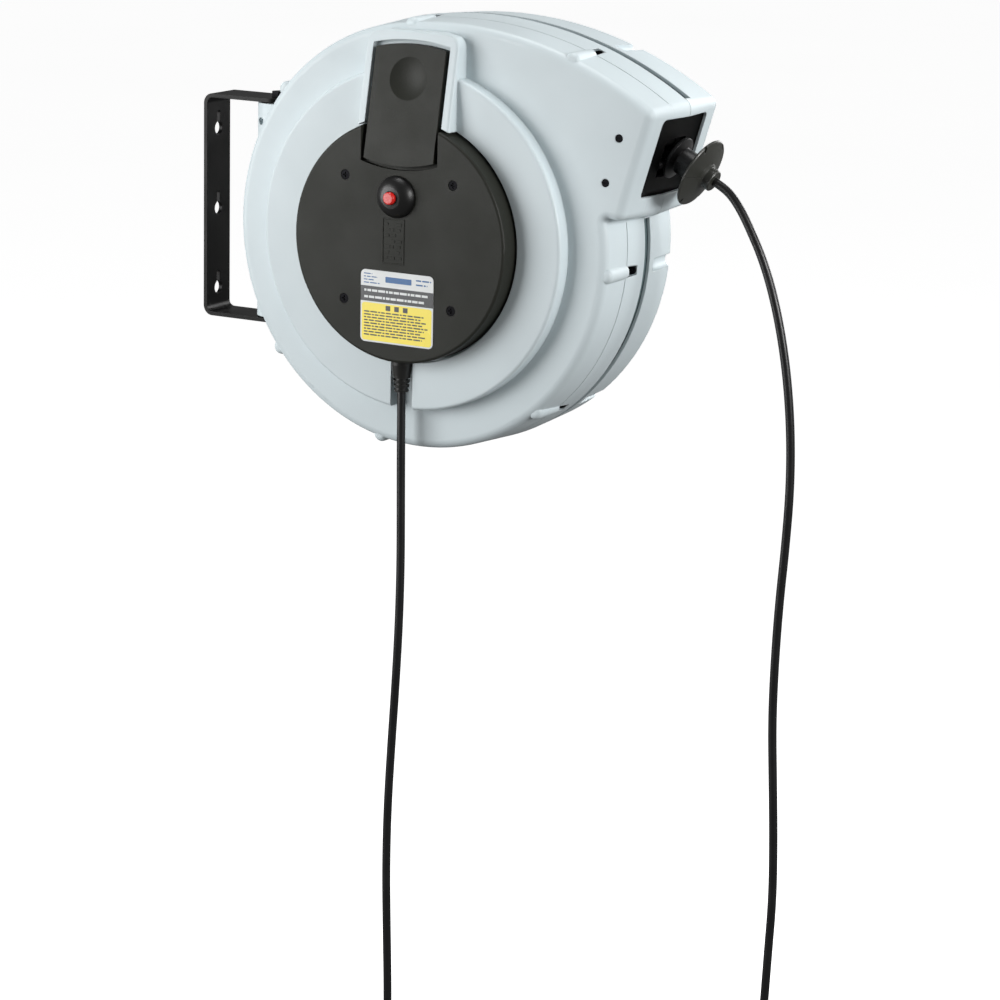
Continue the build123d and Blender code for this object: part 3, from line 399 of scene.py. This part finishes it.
def add_plates(name, plates, base_z, rise, material, corner=0.0):
    """Flat plates, each (x0, x1, y0, y1) in local metres, on a face at base_z."""
    bm = bmesh.new()
    for x0, x1, y0, y1 in plates:
        radius = min(corner, (x1 - x0) / SIDE_SHARE, (y1 - y0) / SIDE_SHARE)
        rim = []
        for cx, cy, start in ((x1 - radius, y1 - radius, 0), (x0 + radius, y1 - radius, 90),
                              (x0 + radius, y0 + radius, 180), (x1 - radius, y0 + radius, 270)):
            for step in range(CORNER_STEPS + 1 if radius else 1):
                angle = math.radians(start + step * 90 / CORNER_STEPS)
                rim.append((cx + radius * math.cos(angle), cy + radius * math.sin(angle)))
        low = [bm.verts.new(to_row(x, y, base_z - INK)) for x, y in rim]
        high = [bm.verts.new(to_row(x, y, base_z + rise)) for x, y in rim]
        bm.faces.new(high)
        bm.faces.new(low[::-1])
        for i in range(len(rim)):
            j = (i + 1) % len(rim)
            bm.faces.new((low[i], low[j], high[j], high[i]))
    bmesh.ops.recalc_face_normals(bm, faces=bm.faces)
    mesh = bpy.data.meshes.new(name)
    bm.to_mesh(mesh)
    bm.free()
    obj = bpy.data.objects.new(name, mesh)
    bpy.context.scene.collection.objects.link(obj)
    mesh.materials.append(material)
    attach(obj, "housing")


label_low, label_high = (Vector(p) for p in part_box("rating_label"))
label_face = -label_low.y
label_x0, label_x1 = label_low.x - REEL_X, label_high.x - REEL_X
label_y0, label_y1 = label_low.z, label_high.z
label_w, label_h = label_x1 - label_x0, label_y1 - label_y0
WORD_GAP = 0.012          # share of the label's width, as are the next three
SHORT_WORD, WORD_STEP = 0.03, 0.022
RAGGED = 0.10             # how far a row may end short of the right edge


def share(u0, u1, v0, v1):
    """Part of the label's face, in shares of its width and height from its lower left corner."""
    return (label_x0 + u0 * label_w, label_x0 + u1 * label_w,
            label_y0 + v0 * label_h, label_y0 + v1 * label_h)


def text_rows(u0, u1, top, bottom, rows, seed, thick):
    """Rows of short plain dashes that stand for small print; thick is the share of the pitch."""
    plates = []
    pitch = (top - bottom) / rows
    half = thick * pitch / 2
    for row in range(rows):
        v = top - (row + 0.5) * pitch
        u = u0
        count = seed + row
        last = u1 - RAGGED * ((count * 7) % 5) / 4
        while u < last:
            count += 1
            width = SHORT_WORD + WORD_STEP * ((count * 5) % 4)
            plates.append(share(u, min(u + width, last), v - half, v + half))
            u += width + WORD_GAP
    return plates


yellow_panel = [share(0.018, 0.982, 0.022, 0.545)]
dark_band = [share(0.0, 1.0, 0.565, 0.775)]
light_print = text_rows(0.05, 0.95, 0.76, 0.58, 2, 3, 0.36)
signs = [share(u - 0.032, u + 0.032, 0.455, 0.525) for u in (0.38, 0.5, 0.62)]
dark_print = text_rows(0.05, 0.93, 0.44, 0.08, 9, 1, 0.46) + signs
blue_print = text_rows(0.04, 0.26, 0.965, 0.80, 4, 2, 0.34) + [share(0.34, 0.70, 0.845, 0.925)]
blue_print += text_rows(0.76, 0.97, 0.95, 0.83, 2, 5, 0.34)
over_face = label_face + INK
add_plates("label_yellow_panel", yellow_panel, label_face, INK, yellow_film, 0.003)
add_plates("label_dark_band", dark_band, label_face, INK, dark_ink)
add_plates("label_light_print", light_print, over_face, INK, white_film)
add_plates("label_dark_print", dark_print, over_face, INK, dark_ink, 0.0004)
add_plates("label_blue_print", blue_print, label_face, INK, blue_ink, 0.0006)

COVER_FACE = 0.106
MARK_RISE = 0.0004
MARK_X0, MARK_Y0, MARK_W, MARK_H = -0.0145, -0.0165, 0.019, 0.037     # field of raised marks
MARK_ROWS, MARK_COLS, SKIPPED = 7, 3, 5  # every fifth place stays empty
SHORT_MARK, MARK_STEP, MARK_TALL = 0.20, 0.06, 0.075
marks = []
for row in range(MARK_ROWS):
    for col in range(MARK_COLS):
        if (row * MARK_COLS + col) % SKIPPED != SKIPPED - 1:
            left = MARK_X0 + MARK_W * col / MARK_COLS
            right = left + MARK_W * (SHORT_MARK + MARK_STEP * ((row + col) % 3))
            low = MARK_Y0 + MARK_H * row / MARK_ROWS
            marks.append((left, right, low, low + MARK_H * MARK_TALL))
add_plates("cover_marks", marks, COVER_FACE, MARK_RISE, dark_cover, MARK_RISE)


# ---- floor, light ------------------------------------------------------------------------
FLOOR_SIZE, FLOOR_BELOW = 60.0, 0.25
FLOOR_CLOUD, FLOOR_ROUGH, FLOOR_GLOW = 0.6, 0.9, 0.80
FLOOR_DARK, FLOOR_PALE = (0.86, 0.86, 0.86), (0.90, 0.90, 0.90)
WHITE = (1.0, 1.0, 1.0, 1.0)
WORLD_GLOW = 0.19
LIGHTS = (                # name, place, side length, watts
    ("key", (-1.35, -1.70, 0.30), 1.6, 60.0),
    ("side", (2.9, -0.25, 0.75), 1.0, 62.0),
    ("top", (0.1, 0.35, 2.6), 1.2, 36.0),
    ("back", (0.9, 2.3, 0.6), 1.2, 26.0),
)


def add_floor():
    """Pale floor that glows towards the camera only, so it tints nothing above it."""
    low = cad_bounds[0][2] - FLOOR_BELOW
    bpy.ops.mesh.primitive_plane_add(size=FLOOR_SIZE, location=(0, 0, low))
    floor = bpy.context.object
    floor.name = "floor"
    n = Nodes("pale_floor")
    shade = n.ramp(n.noise(FLOOR_CLOUD), NOISE_LOW, NOISE_HIGH)
    n.link(n.mix(shade, FLOOR_DARK, FLOOR_PALE), n.shader.inputs["Base Color"])
    n.shader.inputs["Roughness"].default_value = FLOOR_ROUGH
    n.shader.inputs["Emission Color"].default_value = WHITE
    n.shader.inputs["Emission Strength"].default_value = FLOOR_GLOW
    paint(floor, n.material)
    floor.visible_diffuse = False
    floor.visible_glossy = False


def add_area(name, place, side, power):
    """Square lamp that faces the middle of the reel."""
    data = bpy.data.lights.new(name, "AREA")
    data.shape = "SQUARE"
    data.size = side
    data.energy = power
    lamp = bpy.data.objects.new(name, data)
    lamp.location = place
    facing = Vector((REEL_X, 0.0, 0.0)) - Vector(place)
    lamp.rotation_euler = facing.to_track_quat("-Z", "Y").to_euler()
    bpy.context.scene.collection.objects.link(lamp)


def add_world():
    world = bpy.data.worlds.new("world")
    world.use_nodes = True
    background = world.node_tree.nodes["Background"]
    background.inputs["Color"].default_value = WHITE
    background.inputs["Strength"].default_value = WORLD_GLOW
    bpy.context.scene.world = world


add_floor()
for lamp_values in LIGHTS:
    add_area(*lamp_values)
add_world()
bpy.context.scene.view_settings.view_transform = "Standard"
